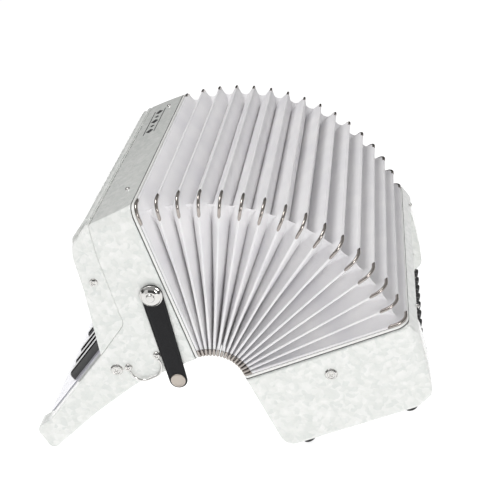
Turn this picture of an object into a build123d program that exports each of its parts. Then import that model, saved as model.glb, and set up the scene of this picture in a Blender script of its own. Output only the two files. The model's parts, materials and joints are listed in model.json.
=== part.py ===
"""A small piano accordion standing as an open arch: treble side, fanned bellows and bass side.

The instrument stands on the tips of its keyboard cheeks and on its two rear bass feet.  X runs from
the treble side to the bass side, Y along the length (the high notes are at -Y) and Z is up.
"""

from build123d import *

import math
import os

# ---------------------------------------------------------------- driving dimensions (mm, degrees)
LENGTH = 320.0            # length of both casings and of the bellows, along Y
DEPTH = 167.0             # front-to-back depth of the casings at the bellows seam
FRONT_R = 12.0            # corner radius of the casings and bellows on the front side
BACK_R = 4.0              # corner radius on the back side

FOLDS = 16                # ridges of the bellows
FOLD_PITCH = 3.28         # spacing of neighbouring ridges when the bellows is closed
FOLD_FAN = 5.69           # angle between neighbouring ridges when the bellows is fanned open
CARD_T = 2.7              # thickness of a folded pair of cards
FOLD_DEPTH = 19.0         # height of a fold, from ridge to valley
CAP_T = 0.8               # metal corner cap thickness
CAP_W = 3.0               # metal corner cap width
CAP_LEG_FRONT = 19.0      # corner cap leg at the front corners
CAP_LEG_BACK = 9.0        # corner cap leg at the back corners
SEAM_TO_FOLD = 4.8        # from a casing's seam to the middle of the first ridge
GASKET_T = 0.8            # soft seal between a casing and the bellows frame
FRAME_T = 2.5             # wooden bellows end frame

TREBLE_LEAN = 105.72      # angle of the treble seam above the floor, back to front
SEAM_BACK_X = -26.59      # where the back corner of the treble seam stands
SEAM_BACK_Z = 104.48

CHEEK = 17.5              # thickness of the treble end boards, which carry on as keyboard cheeks
WALL = 8.0                # treble casing walls
TREBLE_EDGE = 1.2         # rounding of the edges round each end face
COVER_EDGE = 1.5
BASS_EDGE = 3.0
WHITE_PITCH = 19.0        # width of a white key with its gap
KEY_GAP = 0.6
KEY_FRONT = 108.0         # from the cover's edge to the front of the white keys
BLACK_FRONT = 62.0
BLACK_RISE = 8.0
KEY_DIP = 4.0

BASS_DEPTH = 88.0         # bass casing, from the seam to its outer face
BASS_WALL = 5.0
BUTTON_COLUMNS = 8
BUTTON_PITCH = 17.0
ROW_PITCH = 15.0
BUTTON_TRAVEL = 3.5

STRAP_LENGTH = 95.5       # bellows strap, from its snap to its free rivet
STRAP_T = 2.0

HALF = LENGTH / 2
os.makedirs("parts", exist_ok=True)


def save(name, *pieces):
    """Label a finished sub-part, which may be several separate solids, and write its file."""
    shape = pieces[0].part if len(pieces) == 1 else Compound(children=[p.part for p in pieces])
    shape.label = name
    export_step(shape, f"parts/{name}.step")


def outline(corners, mode=Mode.ADD):
    """Add a closed outline to the sketch, from (x, y) or (x, y, radius) corners."""
    with BuildSketch(Plane.XY) as shape:
        with BuildLine():
            Polyline(*[corner[:2] for corner in corners], close=True)
        make_face()
        for x, y, *radius in corners:
            if radius and radius[0]:
                fillet(shape.vertices().sort_by_distance((x, y, 0))[0], radius[0])
    add(shape.sketch, mode=mode)


# ---------------------------------------------------------------- where everything stands
def seam_plane(origin, lean):
    """Profile plane of a seam or fold: x from back to front, y towards the bass, normal along Y."""
    turn = math.radians(lean)
    return Plane(origin=origin, x_dir=(math.cos(turn), 0, math.sin(turn)), z_dir=(0, 1, 0))


def fan_planes():
    """The plane of every fold and the hinge point between each two neighbours."""
    planes = [seam_plane((SEAM_BACK_X, 0, SEAM_BACK_Z), TREBLE_LEAN)]
    planes[0] = seam_plane(planes[0].from_local_coords((0, SEAM_TO_FOLD, 0)), TREBLE_LEAN)
    hinges = []
    for index in range(1, FOLDS):
        hinge = planes[-1].from_local_coords((0, FOLD_PITCH / 2, 0))
        hinges.append(hinge)
        lean = TREBLE_LEAN - index * FOLD_FAN
        halfway = seam_plane(hinge, lean)
        planes.append(seam_plane(halfway.from_local_coords((0, FOLD_PITCH / 2, 0)), lean))
    return planes, hinges


FOLD_PLANES, HINGES = fan_planes()
BASS_LEAN = TREBLE_LEAN - (FOLDS - 1) * FOLD_FAN

# The treble plane has y pointing out of the instrument, away from the bellows, so its normal is -Y.
TREBLE = Plane(
    origin=(SEAM_BACK_X, 0, SEAM_BACK_Z),
    x_dir=FOLD_PLANES[0].x_dir,
    z_dir=(0, -1, 0),
)
BASS = seam_plane(FOLD_PLANES[-1].from_local_coords((0, SEAM_TO_FOLD, 0)), BASS_LEAN)


def treble_at(y):
    """The treble profile plane at one place along the length."""
    return TREBLE.offset(-y)


def bass_at(y):
    return BASS.offset(y)


# Outline corners of the treble end, as (depth from the back, distance out from the seam).
COVER_BACK = (29.6, 88.5)
CREASE = [(162.5, 43.0), (130.0, 48.0), (56.0, 52.5), COVER_BACK]
CHEEK_TIP = [(-26.0, 170.0), (-31.0, 188.5), (-61.0, 182.0)]
BACK_EDGE = [(-31.0, 120.0), (-9.5, 65.5), (-5.5, 40.0)]
COVER_TOP = [(101.0, 75.0), (137.0, 70.5), (148.0, 66.0), (162.5, 47.0)]

# The keyboard plane: x along the keys from the cover's edge to their fronts, y up out of the keys.
KEY_DIRECTION = (CHEEK_TIP[0][0] - COVER_BACK[0], CHEEK_TIP[0][1] - COVER_BACK[1])
KEYBOARD = Plane(
    origin=TREBLE.from_local_coords((*COVER_BACK, 0)),
    x_dir=TREBLE.from_local_coords((*KEY_DIRECTION, 0)) - TREBLE.origin,
    z_dir=(0, 1, 0),
)
PIVOT = (-9.0, -7.0)      # key axle in the keyboard plane


def in_treble(x, y):
    """A point of the keyboard plane, in the treble profile plane."""
    point = TREBLE.to_local_coords(KEYBOARD.from_local_coords((x, y, 0)))
    return (point.X, point.Y)


# ---------------------------------------------------------------- bellows
def ring_corners(inset=0.0):
    """Corners of the bellows outline, seen along the bellows: depth and length."""
    radius_front = FRONT_R - inset
    radius_back = max(BACK_R - inset, 0.5)
    low, high, side = inset, DEPTH - inset, HALF - inset
    return [
        (low, -side, radius_back),
        (high, -side, radius_front),
        (high, side, radius_front),
        (low, side, radius_back),
    ]


def face_plane(profile_plane, distance):
    """A plane across the bellows: x from back to front, y along the length."""
    origin = profile_plane.from_local_coords((0, distance, 0))
    return Plane(origin=origin, x_dir=profile_plane.x_dir, z_dir=-profile_plane.y_dir)


def ring(profile_plane, start, thickness, inset, width):
    """A flat frame around the bellows opening."""
    plane = face_plane(profile_plane, start + thickness)
    with BuildPart() as made:
        with BuildSketch(plane):
            outline(ring_corners(inset))
            inner = inset + width
            with Locations((DEPTH / 2, 0)):
                Rectangle(DEPTH - 2 * inner, LENGTH - 2 * inner, mode=Mode.SUBTRACT)
        extrude(amount=thickness)
    return made


def card_corners():
    """The four mitred cards of a fold: each a strip with its ends on the mitre lines."""
    low, high, side = 0.0, DEPTH, HALF
    deep = FOLD_DEPTH
    outer = [(low, -side), (high, -side), (high, side), (low, side)]
    inner = [
        (low + deep, -side + deep),
        (high - deep, -side + deep),
        (high - deep, side - deep),
        (low + deep, side - deep),
    ]
    for index in range(4):
        following = (index + 1) % 4
        yield [outer[index], outer[following], inner[following], inner[index]]


def corner_squares():
    """A square over each corner of the ridge, as large as the metal cap that binds it."""
    for x, leg in ((0.0, CAP_LEG_BACK), (DEPTH, CAP_LEG_FRONT)):
        for y in (-HALF, HALF):
            yield x, y, leg


def make_fold(profile_plane):
    """One fold: four mitred cards and the four metal caps that bind its ridge at the corners."""
    solids = []
    for corners in card_corners():
        with BuildPart() as card:
            with BuildSketch(face_plane(profile_plane, CARD_T / 2)):
                outline(ring_corners(CAP_T))
                outline(corners, Mode.INTERSECT)
            extrude(amount=CARD_T)
        solids.append(card)
    for x, y, leg in corner_squares():
        with BuildPart() as cap:
            with BuildSketch(face_plane(profile_plane, CAP_W / 2)):
                outline(ring_corners())
                with Locations((x, y)):
                    Rectangle(2 * leg, 2 * leg, mode=Mode.INTERSECT)
                outline(ring_corners(CAP_T), Mode.SUBTRACT)
            extrude(amount=CAP_W)
        solids.append(cap)
    return solids


for number, plane in enumerate(FOLD_PLANES, start=1):
    save(f"bellows_fold_{number:02d}", *make_fold(plane))

treble_gasket = ring(FOLD_PLANES[0], -SEAM_TO_FOLD, GASKET_T, 0.6, 9.0)
treble_frame = ring(FOLD_PLANES[0], -SEAM_TO_FOLD + GASKET_T, FRAME_T, 0.0, 14.0)
bass_gasket = ring(FOLD_PLANES[-1], SEAM_TO_FOLD - GASKET_T, GASKET_T, 0.6, 9.0)
bass_frame = ring(FOLD_PLANES[-1], SEAM_TO_FOLD - GASKET_T - FRAME_T, FRAME_T, 0.0, 14.0)
save("treble_gasket", treble_gasket)
save("treble_bellows_frame", treble_frame)
save("bass_gasket", bass_gasket)
save("bass_bellows_frame", bass_frame)


# ---------------------------------------------------------------- treble casing
def casing_plan(mode=Mode.ADD):
    """The casing seen along the bellows: square at the back, rounded at the two front corners."""
    back = -90.0
    outline(
        [(back, -HALF), (DEPTH, -HALF, FRONT_R), (DEPTH, HALF, FRONT_R), (back, HALF)],
        mode,
    )


def end_face_edges(builder):
    """Every edge of the flat faces at both ends of a casing."""
    ends = builder.faces().filter_by(Axis.Y).group_by(Axis.Y)
    return ends[0].edges() + ends[-1].edges()


TREBLE_REACH = 210.0      # further out than any part of the treble side
DECK_LOW = 34.0           # pallet deck between the reed chamber and the key levers
DECK_TOP = 41.0
INNER = HALF - CHEEK      # half length between the treble end boards
PALLET_ROWS = {"white": 132.0, "black": 96.0}

end_profile = [
    (0.0, 0.0),
    (DEPTH, 0.0),
    (*CREASE[0], 3.0),
    (*CREASE[1], 30.0),
    (*CREASE[2], 8.0),
    CREASE[3],
    (*CHEEK_TIP[0], 14.0),
    (*CHEEK_TIP[1], 8.0),
    (*CHEEK_TIP[2], 6.0),
    (*BACK_EDGE[0], 60.0),
    (*BACK_EDGE[1], 90.0),
    (*BACK_EDGE[2], 120.0),
]


# Keys: 15 whites from b to b, with each octave's semitones spread over the back of the keys.
WHITES = "bcdefgabcdefgab"
SEMITONES = {
    "c": (0.0, 0.6), "c_sharp": (0.6, 1.2), "d": (1.2, 1.8), "d_sharp": (1.8, 2.4), "e": (2.4, 3.0),
    "f": (3.0, 25 / 7), "f_sharp": (25 / 7, 29 / 7), "g": (29 / 7, 33 / 7),
    "g_sharp": (33 / 7, 37 / 7), "a": (37 / 7, 41 / 7), "a_sharp": (41 / 7, 45 / 7), "b": (45 / 7, 7.0),
}
WHITE_PLACES = {"c": 0, "d": 1, "e": 2, "f": 3, "g": 4, "a": 5, "b": 6}
KEY_COUNT_OFFSET = 6      # the lowest key is a b, the seventh white of its octave


def along_keyboard(whites_from_c):
    """Y of a place on the keyboard, in white key widths up from the c below the lowest b."""
    return INNER - (whites_from_c - KEY_COUNT_OFFSET) * WHITE_PITCH


def key_spans(name):
    """For each key of one name: its narrow back part's and its front part's Y limits."""
    low, high = SEMITONES[name]
    for octave in range(3):
        start = 7 * octave
        if start + low < KEY_COUNT_OFFSET or start + high > KEY_COUNT_OFFSET + len(WHITES) + 0.01:
            continue
        back = (along_keyboard(start + high), along_keyboard(start + low))
        if name in WHITE_PLACES:
            place = start + WHITE_PLACES[name]
            front = (along_keyboard(place + 1), along_keyboard(place))
        else:
            front = back
        yield back, front


def lever_y(back, front):
    """Levers of white keys run down the middle of the key's back part."""
    return (back[0] + back[1]) / 2


with BuildPart() as treble_box:
    with BuildSketch(treble_at(HALF)):
        outline(end_profile)
    extrude(amount=LENGTH)
    with BuildSketch(face_plane(TREBLE, TREBLE_REACH)):
        casing_plan()
    extrude(amount=TREBLE_REACH + 1, mode=Mode.INTERSECT)
    # Reed chamber, open towards the bellows.
    with BuildSketch(treble_at(INNER)):
        outline([(WALL, -1), (DEPTH - WALL, -1), (DEPTH - WALL - 3, DECK_LOW), (WALL, DECK_LOW)])
    extrude(amount=2 * INNER, mode=Mode.SUBTRACT)
    # Key well and lever space between the cheeks.
    with BuildSketch(treble_at(INNER)):
        outline([(-120, DECK_TOP), (DEPTH - WALL, DECK_TOP), (DEPTH - WALL, 200), (-120, 200)])
    extrude(amount=2 * INNER, mode=Mode.SUBTRACT)
    # One air hole in the deck under each pallet.
    with BuildSketch(face_plane(TREBLE, DECK_TOP + 1)):
        for name in SEMITONES:
            row = PALLET_ROWS["white" if name in WHITE_PLACES else "black"]
            for back, front in key_spans(name):
                with Locations((row, -lever_y(back, front))):
                    Rectangle(14, 5)
    extrude(amount=DECK_TOP - DECK_LOW + 2, mode=Mode.SUBTRACT)
    # Sockets for the key axle in both end boards.
    axle_socket = 6.0
    with BuildSketch(Plane(KEYBOARD.from_local_coords((*PIVOT, -INNER - axle_socket)),
                           x_dir=KEYBOARD.x_dir, z_dir=(0, 1, 0))):
        Circle(1.5)
    extrude(amount=2 * (INNER + axle_socket), mode=Mode.SUBTRACT)
    fillet(end_face_edges(treble_box), TREBLE_EDGE)
save("treble_box", treble_box)

# Grille cover: a thin shell over the levers, its long middle part raised a little above its ends.
COVER_END = 4.0
COVER_RAISE_START = HALF - 15.0
cover_outline = [
    (*CREASE[0], 0),
    (*COVER_TOP[3], 6.0),
    (*COVER_TOP[2], 8.0),
    (*COVER_TOP[1], 8.0),
    (*COVER_TOP[0], 40.0),
    (*COVER_BACK, 0),
    (*CREASE[2], 8.0),
    (*CREASE[1], 30.0),
]
raised_outline = [
    (163.0, 44.5), (164.6, 48.8, 5.0), (150.0, 68.6, 8.0), (138.5, 73.6, 8.0), (101.5, 78.2, 40.0),
    (40.0, 88.8), (42.0, 80.0), (140.0, 60.0),
]
cover_hollow = [
    (159.2, 30.0), (159.6, 46.0, 6.0), (146.3, 63.4, 6.0), (136.0, 67.9, 6.0), (100.5, 72.3, 30.0),
    (31.5, 85.5), (0.0, 60.0), (0.0, 30.0),
]
raised_hollow = [
    (159.2, 44.0), (161.6, 48.0, 4.0), (148.3, 66.0, 6.0), (137.6, 70.9, 6.0), (101.0, 75.5, 30.0),
    (46.0, 84.5), (46.0, 76.0), (140.0, 55.0),
]
SLOTS = 20
SLOT_PITCH = 12.2
SLOTS_MIDDLE = 17.0       # the row of slots is nearer the low-note end
SLOTS_FORWARD = 4.0       # and nearer the front of the bevel
SLOT_LENGTH = 17.0
SLOT_WIDTH = 2.2
SLOT_TURN = 55.0

with BuildPart() as grille_cover:
    with BuildSketch(treble_at(HALF)):
        outline(cover_outline)
    extrude(amount=LENGTH)
    with BuildSketch(treble_at(COVER_RAISE_START)):
        outline(raised_outline)
    extrude(amount=2 * COVER_RAISE_START)
    with BuildSketch(face_plane(TREBLE, TREBLE_REACH)):
        casing_plan()
    extrude(amount=TREBLE_REACH + 1, mode=Mode.INTERSECT)
    with BuildSketch(treble_at(HALF - COVER_END)):
        outline(cover_hollow)
    extrude(amount=LENGTH - 2 * COVER_END, mode=Mode.SUBTRACT)
    with BuildSketch(treble_at(COVER_RAISE_START - 3)):
        outline(raised_hollow)
    extrude(amount=2 * COVER_RAISE_START - 6, mode=Mode.SUBTRACT)
    # Slanting sound slots through the bevelled front edge.
    bevel_from, bevel_to = raised_outline[1], raised_outline[2]
    bevel_middle = ((bevel_from[0] + bevel_to[0]) / 2, (bevel_from[1] + bevel_to[1]) / 2)
    bevel_along = TREBLE.from_local_coords((*bevel_to[:2], 0)) - TREBLE.from_local_coords(
        (*bevel_from[:2], 0)
    )
    bevel = Plane(
        origin=TREBLE.from_local_coords((*bevel_middle, 0)),
        x_dir=(0, 1, 0),
        z_dir=bevel_along.cross(Vector(0, 1, 0)),
    )
    with BuildSketch(bevel):
        with Locations((SLOTS_MIDDLE, SLOTS_FORWARD)):
            with GridLocations(SLOT_PITCH, 1, SLOTS, 1):
                SlotOverall(SLOT_LENGTH, SLOT_WIDTH, rotation=SLOT_TURN)
    extrude(amount=8, both=True, mode=Mode.SUBTRACT)
    fillet(end_face_edges(grille_cover), COVER_EDGE)
save("grille_cover", grille_cover)

# Keyboard bed: the board that closes the back of the key well, from the deck to the cheek tips.
BED_T = 6.0
with BuildPart() as keyboard_bed:
    with BuildSketch(treble_at(INNER)):
        outline([
            (*BACK_EDGE[2][:1], DECK_TOP), (-9.5, 65.5, 40.0), (-31.0, 120.0, 60.0), (-57.0, 174.0),
            (-50.5, 176.0), (-25.0, 121.5, 60.0), (-3.0, 67.0, 34.0), (2.0, DECK_TOP),
        ])
    extrude(amount=2 * INNER)
save("keyboard_bed", keyboard_bed)

with BuildPart() as key_axle:
    with BuildSketch(Plane(KEYBOARD.from_local_coords((*PIVOT, -INNER - axle_socket)),
                           x_dir=KEYBOARD.x_dir, z_dir=(0, 1, 0))):
        Circle(1.5)
    extrude(amount=2 * (INNER + axle_socket))
save("key_axle", key_axle)


# ---------------------------------------------------------------- keys
KEY_TOP = 1.0             # white key tops, level with the cheek edge
KEY_BOTTOM = -12.0
KEY_REAR = -15.0
COVERED_TOP = -2.5        # keys are lower where they pass under the cover
BLACK_NOSE = 5.5          # rounding at the front of a black key
AXLE_CLEARANCE = 0.05
LEVER_T = 2.4

def make_key(name, back, front):
    """One key with its bore, its lever and its pallet, as three solids."""
    white = name in WHITE_PLACES
    reach = KEY_FRONT if white else BLACK_FRONT
    with BuildPart() as key:
        with BuildSketch(KEYBOARD.offset(back[0] + KEY_GAP / 2)):
            outline([(KEY_REAR, KEY_BOTTOM), (1.0, KEY_BOTTOM), (1.0, COVERED_TOP),
                     (KEY_REAR, COVERED_TOP)])
        extrude(amount=back[1] - back[0] - KEY_GAP)
        with BuildSketch(KEYBOARD.offset(back[0] + KEY_GAP / 2)):
            if white:
                outline([(1.0, KEY_BOTTOM), (BLACK_FRONT + 1, KEY_BOTTOM),
                         (BLACK_FRONT + 1, KEY_TOP), (1.0, KEY_TOP)])
            else:
                outline([(1.0, KEY_BOTTOM), (reach, KEY_BOTTOM), (reach, KEY_TOP + 1),
                         (reach - 2, KEY_TOP + BLACK_RISE, BLACK_NOSE), (1.0, KEY_TOP + BLACK_RISE)])
        extrude(amount=back[1] - back[0] - KEY_GAP)
        if white:
            with BuildSketch(KEYBOARD.offset(front[0] + KEY_GAP / 2)):
                outline([(BLACK_FRONT + 1, KEY_BOTTOM), (reach, KEY_BOTTOM), (reach, KEY_TOP, 1.5),
                         (BLACK_FRONT + 1, KEY_TOP)])
            extrude(amount=front[1] - front[0] - KEY_GAP)
        else:
            tops = edges().filter_by(lambda edge: abs(KEYBOARD.to_local_coords(edge.center()).Y
                                                      - KEY_TOP - BLACK_RISE) < 0.01)
            chamfer(tops.filter_by(KEYBOARD_LINE), 1.2)
        with BuildSketch(Plane(KEYBOARD.from_local_coords((*PIVOT, -HALF)),
                               x_dir=KEYBOARD.x_dir, z_dir=(0, 1, 0))):
            Circle(1.5 + AXLE_CLEARANCE)
        extrude(amount=LENGTH, mode=Mode.SUBTRACT)
    middle = lever_y(back, front)
    with BuildPart() as lever:
        with BuildSketch(treble_at(middle + LEVER_T / 2)):
            outline(lever_outline(white))
        extrude(amount=LEVER_T)
    row = PALLET_ROWS["white" if white else "black"]
    with BuildPart() as pallet:
        with BuildSketch(treble_at(middle + 5)):
            outline([(row - 11, DECK_TOP), (row + 11, DECK_TOP), (row + 11, DECK_TOP + PALLET_T),
                     (row - 11, DECK_TOP + PALLET_T)])
        extrude(amount=10)
    return [key, lever, pallet]


PALLET_T = 6.0
KEYBOARD_LINE = Axis(origin=KEYBOARD.origin, direction=KEYBOARD.x_dir)


def lever_outline(white):
    """A bent lever from the back of its key, under the cover, to the end of its pallet."""
    row = PALLET_ROWS["white" if white else "black"]
    rear_top = in_treble(KEY_REAR, COVERED_TOP - 1)
    rear_low = in_treble(KEY_REAR, KEY_BOTTOM + 2)
    top = DECK_TOP + PALLET_T + 4
    return [rear_top, (54.0, top, 6.0), (row + 9, top), (row + 9, DECK_TOP + PALLET_T),
            (50.0, DECK_TOP + PALLET_T, 4.0), rear_low]


for name in SEMITONES:
    solids = []
    for back, front in key_spans(name):
        solids += make_key(name, back, front)
    save(f"keys_{name}", *solids)

# Hairpin return springs, one under the back of each key.
SPRING_R = 0.6
spring_route = [(16.0, -34.0), (3.0, -28.0), (7.0, -21.0), (-3.0, -15.0)]
springs = []
for name in SEMITONES:
    for back, front in key_spans(name):
        with BuildPart() as spring:
            with BuildLine(KEYBOARD.offset(lever_y(back, front))):
                FilletPolyline(*spring_route, radius=3.0)
            spring_plane = KEYBOARD.offset(lever_y(back, front))
            start = spring_plane.from_local_coords((*spring_route[0], 0))
            toward = spring_plane.from_local_coords((*spring_route[1], 0))
            with BuildSketch(Plane(origin=start, z_dir=toward - start)):
                Circle(SPRING_R)
            sweep()
        springs.append(spring)
save("key_springs", *springs)

# Treble reed blocks: three tapered wooden blocks hanging from the deck into the reed chamber.
treble_blocks = []
for depth in (38.0, 84.0, 130.0):
    with BuildPart() as reed_block:
        with BuildSketch(treble_at(INNER - 8)):
            outline([(depth - 11, DECK_LOW), (depth + 11, DECK_LOW), (depth + 6, 4.0), (depth - 6, 4.0)])
        extrude(amount=2 * (INNER - 8))
    treble_blocks.append(reed_block)
save("treble_reed_blocks", *treble_blocks)


# ---------------------------------------------------------------- bass casing
BASS_NEAR_END = 30.0      # casing left at full height at the high-note end, beside the buttons
BASS_FAR_END = 54.0       # and at the other end
SLANT_FRONT = (166.0, 21.0)
SLANT_BACK = (126.0, 84.5)
BASS_DECK_LOW = 28.0
BASS_DECK_TOP = 34.0
BASS_COVER_T = 4.0

bass_profile = [
    (0.0, 0.0), (DEPTH, 0.0), (172.0, 15.0, 12.0), (167.5, 50.0, 90.0), (160.5, 79.0, 11.0),
    (143.0, BASS_DEPTH, 18.0), (4.0, BASS_DEPTH, 13.0),
]
bass_hollow = [
    (6.0, -1.0), (161.0, -1.0), (166.5, 15.0, 10.0), (162.5, 50.0, 80.0), (156.0, 76.5, 8.0),
    (142.0, 83.0, 14.0), (9.0, 83.0, 8.0),
]
slant_normal = Vector(SLANT_BACK[1] - SLANT_FRONT[1], SLANT_FRONT[0] - SLANT_BACK[0], 0).normalized()
slant_along = Vector(SLANT_BACK[0] - SLANT_FRONT[0], SLANT_BACK[1] - SLANT_FRONT[1], 0).normalized()


def beside_slant(along, above):
    """A point of the bass profile, measured along the slanted front and up from it."""
    point = Vector(*SLANT_FRONT, 0) + slant_along * along + slant_normal * above
    return (point.X, point.Y)


def slant_plane(along, y, above=0.0):
    """A plane on the slanted front: x along the length, normal out of the casing."""
    origin = bass_at(y).from_local_coords((*beside_slant(along, above), 0))
    normal = BASS.from_local_coords(slant_normal) - BASS.origin
    return Plane(origin=origin, x_dir=(0, 1, 0), z_dir=normal)


BOARD_T = 4.0
BOARD_START = 2.0
BOARD_LENGTH = 64.0
BOARD_Y0 = -HALF + BASS_NEAR_END + 3.0
BOARD_Y1 = BOARD_Y0 + BUTTON_COLUMNS * BUTTON_PITCH + 2.0
SLANT_WALL = 4.0

COVER_MIDDLE = 66.0       # the removable plate in the outer face
COVER_WIDE = 92.0
COVER_LONG = 276.0
WHEEL_AT = (82.0, 70.0)   # strap wheel, in the bass profile
WHEEL_R = 11.0
WHEEL_T = 6.0
WHEEL_Y = HALF - WHEEL_R + 3.0
AIR_PLACE = 30.0          # air button, up the slanted front and along the casing
AIR_Y = 66.0
AIR_TRAVEL = 5.0
AIR_STEM_R = 2.5

with BuildPart() as bass_box:
    with BuildSketch(bass_at(-HALF)):
        outline(bass_profile)
    extrude(amount=LENGTH)
    with BuildSketch(face_plane(BASS, BASS_DEPTH + 1)):
        outline([(-20, -HALF), (DEPTH + 6, -HALF, FRONT_R), (DEPTH + 6, HALF, FRONT_R), (-20, HALF)])
    extrude(amount=BASS_DEPTH + 2, mode=Mode.INTERSECT)
    # The slanted front between the two full-height ends.
    with BuildSketch(bass_at(-HALF + BASS_NEAR_END)):
        outline([beside_slant(-30, 0), beside_slant(110, 0), beside_slant(110, 60), beside_slant(-30, 60)])
    extrude(amount=LENGTH - BASS_NEAR_END - BASS_FAR_END, mode=Mode.SUBTRACT)
    # Hollow inside, in three stretches, with a deck left between the two chambers.
    for y0, y1, slanted in (
        (-HALF + 6, -HALF + BASS_NEAR_END - 4, False),
        (-HALF + BASS_NEAR_END - 4, HALF - BASS_FAR_END + 4, True),
        (HALF - BASS_FAR_END + 4, HALF - 6, False),
    ):
        for low, high in ((-1.0, BASS_DECK_LOW), (BASS_DECK_TOP, BASS_DEPTH)):
            with BuildSketch(bass_at(y0)):
                outline(bass_hollow)
                outline([(-20, low), (190, low), (190, high), (-20, high)], Mode.INTERSECT)
                if slanted:
                    outline([beside_slant(-60, -SLANT_WALL), beside_slant(150, -SLANT_WALL),
                             beside_slant(150, 90), beside_slant(-60, 90)], Mode.SUBTRACT)
            extrude(amount=y1 - y0, mode=Mode.SUBTRACT)
    # Opening for the button board, and for the cover plate on the outer face.
    with BuildSketch(slant_plane(BOARD_START + BOARD_LENGTH / 2, (BOARD_Y0 + BOARD_Y1) / 2, 1)):
        Rectangle(BOARD_Y1 - BOARD_Y0, BOARD_LENGTH)
    extrude(amount=-8, mode=Mode.SUBTRACT)
    for shrink, deep in ((0.0, BASS_COVER_T), (8.0, BASS_COVER_T + 3)):
        with BuildSketch(face_plane(BASS, BASS_DEPTH)):
            with Locations((COVER_MIDDLE, 0)):
                RectangleRounded(COVER_WIDE - shrink, COVER_LONG - shrink, 6)
        extrude(amount=deep, mode=Mode.SUBTRACT)
    with BuildSketch(slant_plane(AIR_PLACE, AIR_Y, 1)):
        Circle(AIR_STEM_R + 0.4)
    extrude(amount=-SLANT_WALL - 2, mode=Mode.SUBTRACT)
    # Slot in the far end for the strap wheel.
    with BuildSketch(face_plane(BASS, WHEEL_AT[1] + WHEEL_T / 2 + 1)):
        with Locations((WHEEL_AT[0], WHEEL_Y)):
            Circle(WHEEL_R + 1)
    extrude(amount=WHEEL_T + 2, mode=Mode.SUBTRACT)
    fillet(end_face_edges(bass_box), BASS_EDGE)
save("bass_box", bass_box)

with BuildPart() as bass_cover:
    with BuildSketch(face_plane(BASS, BASS_DEPTH)):
        with Locations((COVER_MIDDLE, 0)):
            RectangleRounded(COVER_WIDE - 0.4, COVER_LONG - 0.4, 5.8)
    extrude(amount=BASS_COVER_T)
    with BuildSketch(face_plane(BASS, BASS_DEPTH)):
        with Locations((COVER_MIDDLE - 34, 0), (COVER_MIDDLE + 34, 0)):
            with GridLocations(1, 16, 1, 12):
                SlotOverall(10, 3)
    extrude(amount=BASS_COVER_T, mode=Mode.SUBTRACT)
save("bass_cover", bass_cover)

# Button board: a black plate in the slanted front, bored for every button.
ROWS = ("counter", "root", "major", "minor")
BUTTON_R = 5.0
STEM_R = 3.0
BUTTON_RISE = 7.5
STEM_BELOW = 3.2          # how far a stem reaches below the slanted front
board_middle_y = (BOARD_Y0 + BOARD_Y1) / 2


def row_place(row):
    """Distance of a button row up the slanted front."""
    return BOARD_START + 9.0 + row * ROW_PITCH


def button_stagger(row):
    return 1.2 * (row - 1.5)


with BuildPart() as bass_button_board:
    with BuildSketch(slant_plane(BOARD_START + BOARD_LENGTH / 2, board_middle_y, 1.5)):
        Rectangle(BOARD_Y1 - BOARD_Y0 - 0.4, BOARD_LENGTH - 0.4)
    extrude(amount=-BOARD_T)
    for row in range(len(ROWS)):
        with BuildSketch(slant_plane(row_place(row), board_middle_y, 2)):
            with Locations((button_stagger(row), 0)):
                with GridLocations(BUTTON_PITCH, 1, BUTTON_COLUMNS, 1):
                    Circle(STEM_R + 0.3)
        extrude(amount=-BOARD_T - 2, mode=Mode.SUBTRACT)
save("bass_button_board", bass_button_board)

button_under = 1.5 + BUTTON_TRAVEL + 0.4
for row, row_name in enumerate(ROWS):
    with BuildPart() as row_buttons:
        with BuildSketch(slant_plane(row_place(row), board_middle_y, button_under)):
            with Locations((button_stagger(row), 0)):
                with GridLocations(BUTTON_PITCH, 1, BUTTON_COLUMNS, 1):
                    Circle(BUTTON_R)
        extrude(amount=BUTTON_RISE - BUTTON_TRAVEL - 0.4)
        fillet(faces().sort_by(Axis(BASS.origin, slant_plane(0, 0).z_dir))[-BUTTON_COLUMNS:].edges(), 1.4)
        with BuildSketch(slant_plane(row_place(row), board_middle_y, button_under)):
            with Locations((button_stagger(row), 0)):
                with GridLocations(BUTTON_PITCH, 1, BUTTON_COLUMNS, 1):
                    Circle(STEM_R)
        extrude(amount=-button_under - STEM_BELOW)
    save(f"bass_buttons_{row_name}", row_buttons)

# Air button on the slanted front, beside the button board.
with BuildPart() as air_button:
    with BuildSketch(slant_plane(AIR_PLACE, AIR_Y, AIR_TRAVEL + 0.5)):
        Circle(8.0)
    extrude(amount=4.5)
    fillet(faces().sort_by(Axis(BASS.origin, slant_plane(0, 0).z_dir))[-1].edges(), 1.5)
    with BuildSketch(slant_plane(AIR_PLACE, AIR_Y, AIR_TRAVEL + 0.5)):
        Circle(AIR_STEM_R)
    extrude(amount=-AIR_TRAVEL - 10)
save("air_button", air_button)

# Bass machine: shafts across the casing and the pallets on the deck.
SHAFT_R = 2.0
machine = []
for column in range(5):
    with BuildPart() as shaft:
        with BuildSketch(bass_at(-HALF + 6)):
            with Locations((24.0 + 18.0 * column, 58.0)):
                Circle(SHAFT_R)
        extrude(amount=LENGTH - 12)
    machine.append(shaft)
for number in range(12):
    with BuildPart() as pallet:
        with BuildSketch(bass_at(-120.0 + 20.0 * number)):
            outline([(62, BASS_DECK_TOP), (96, BASS_DECK_TOP), (96, BASS_DECK_TOP + 7),
                     (62, BASS_DECK_TOP + 7)])
        extrude(amount=14)
    machine.append(pallet)
save("bass_machine", *machine)

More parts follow.
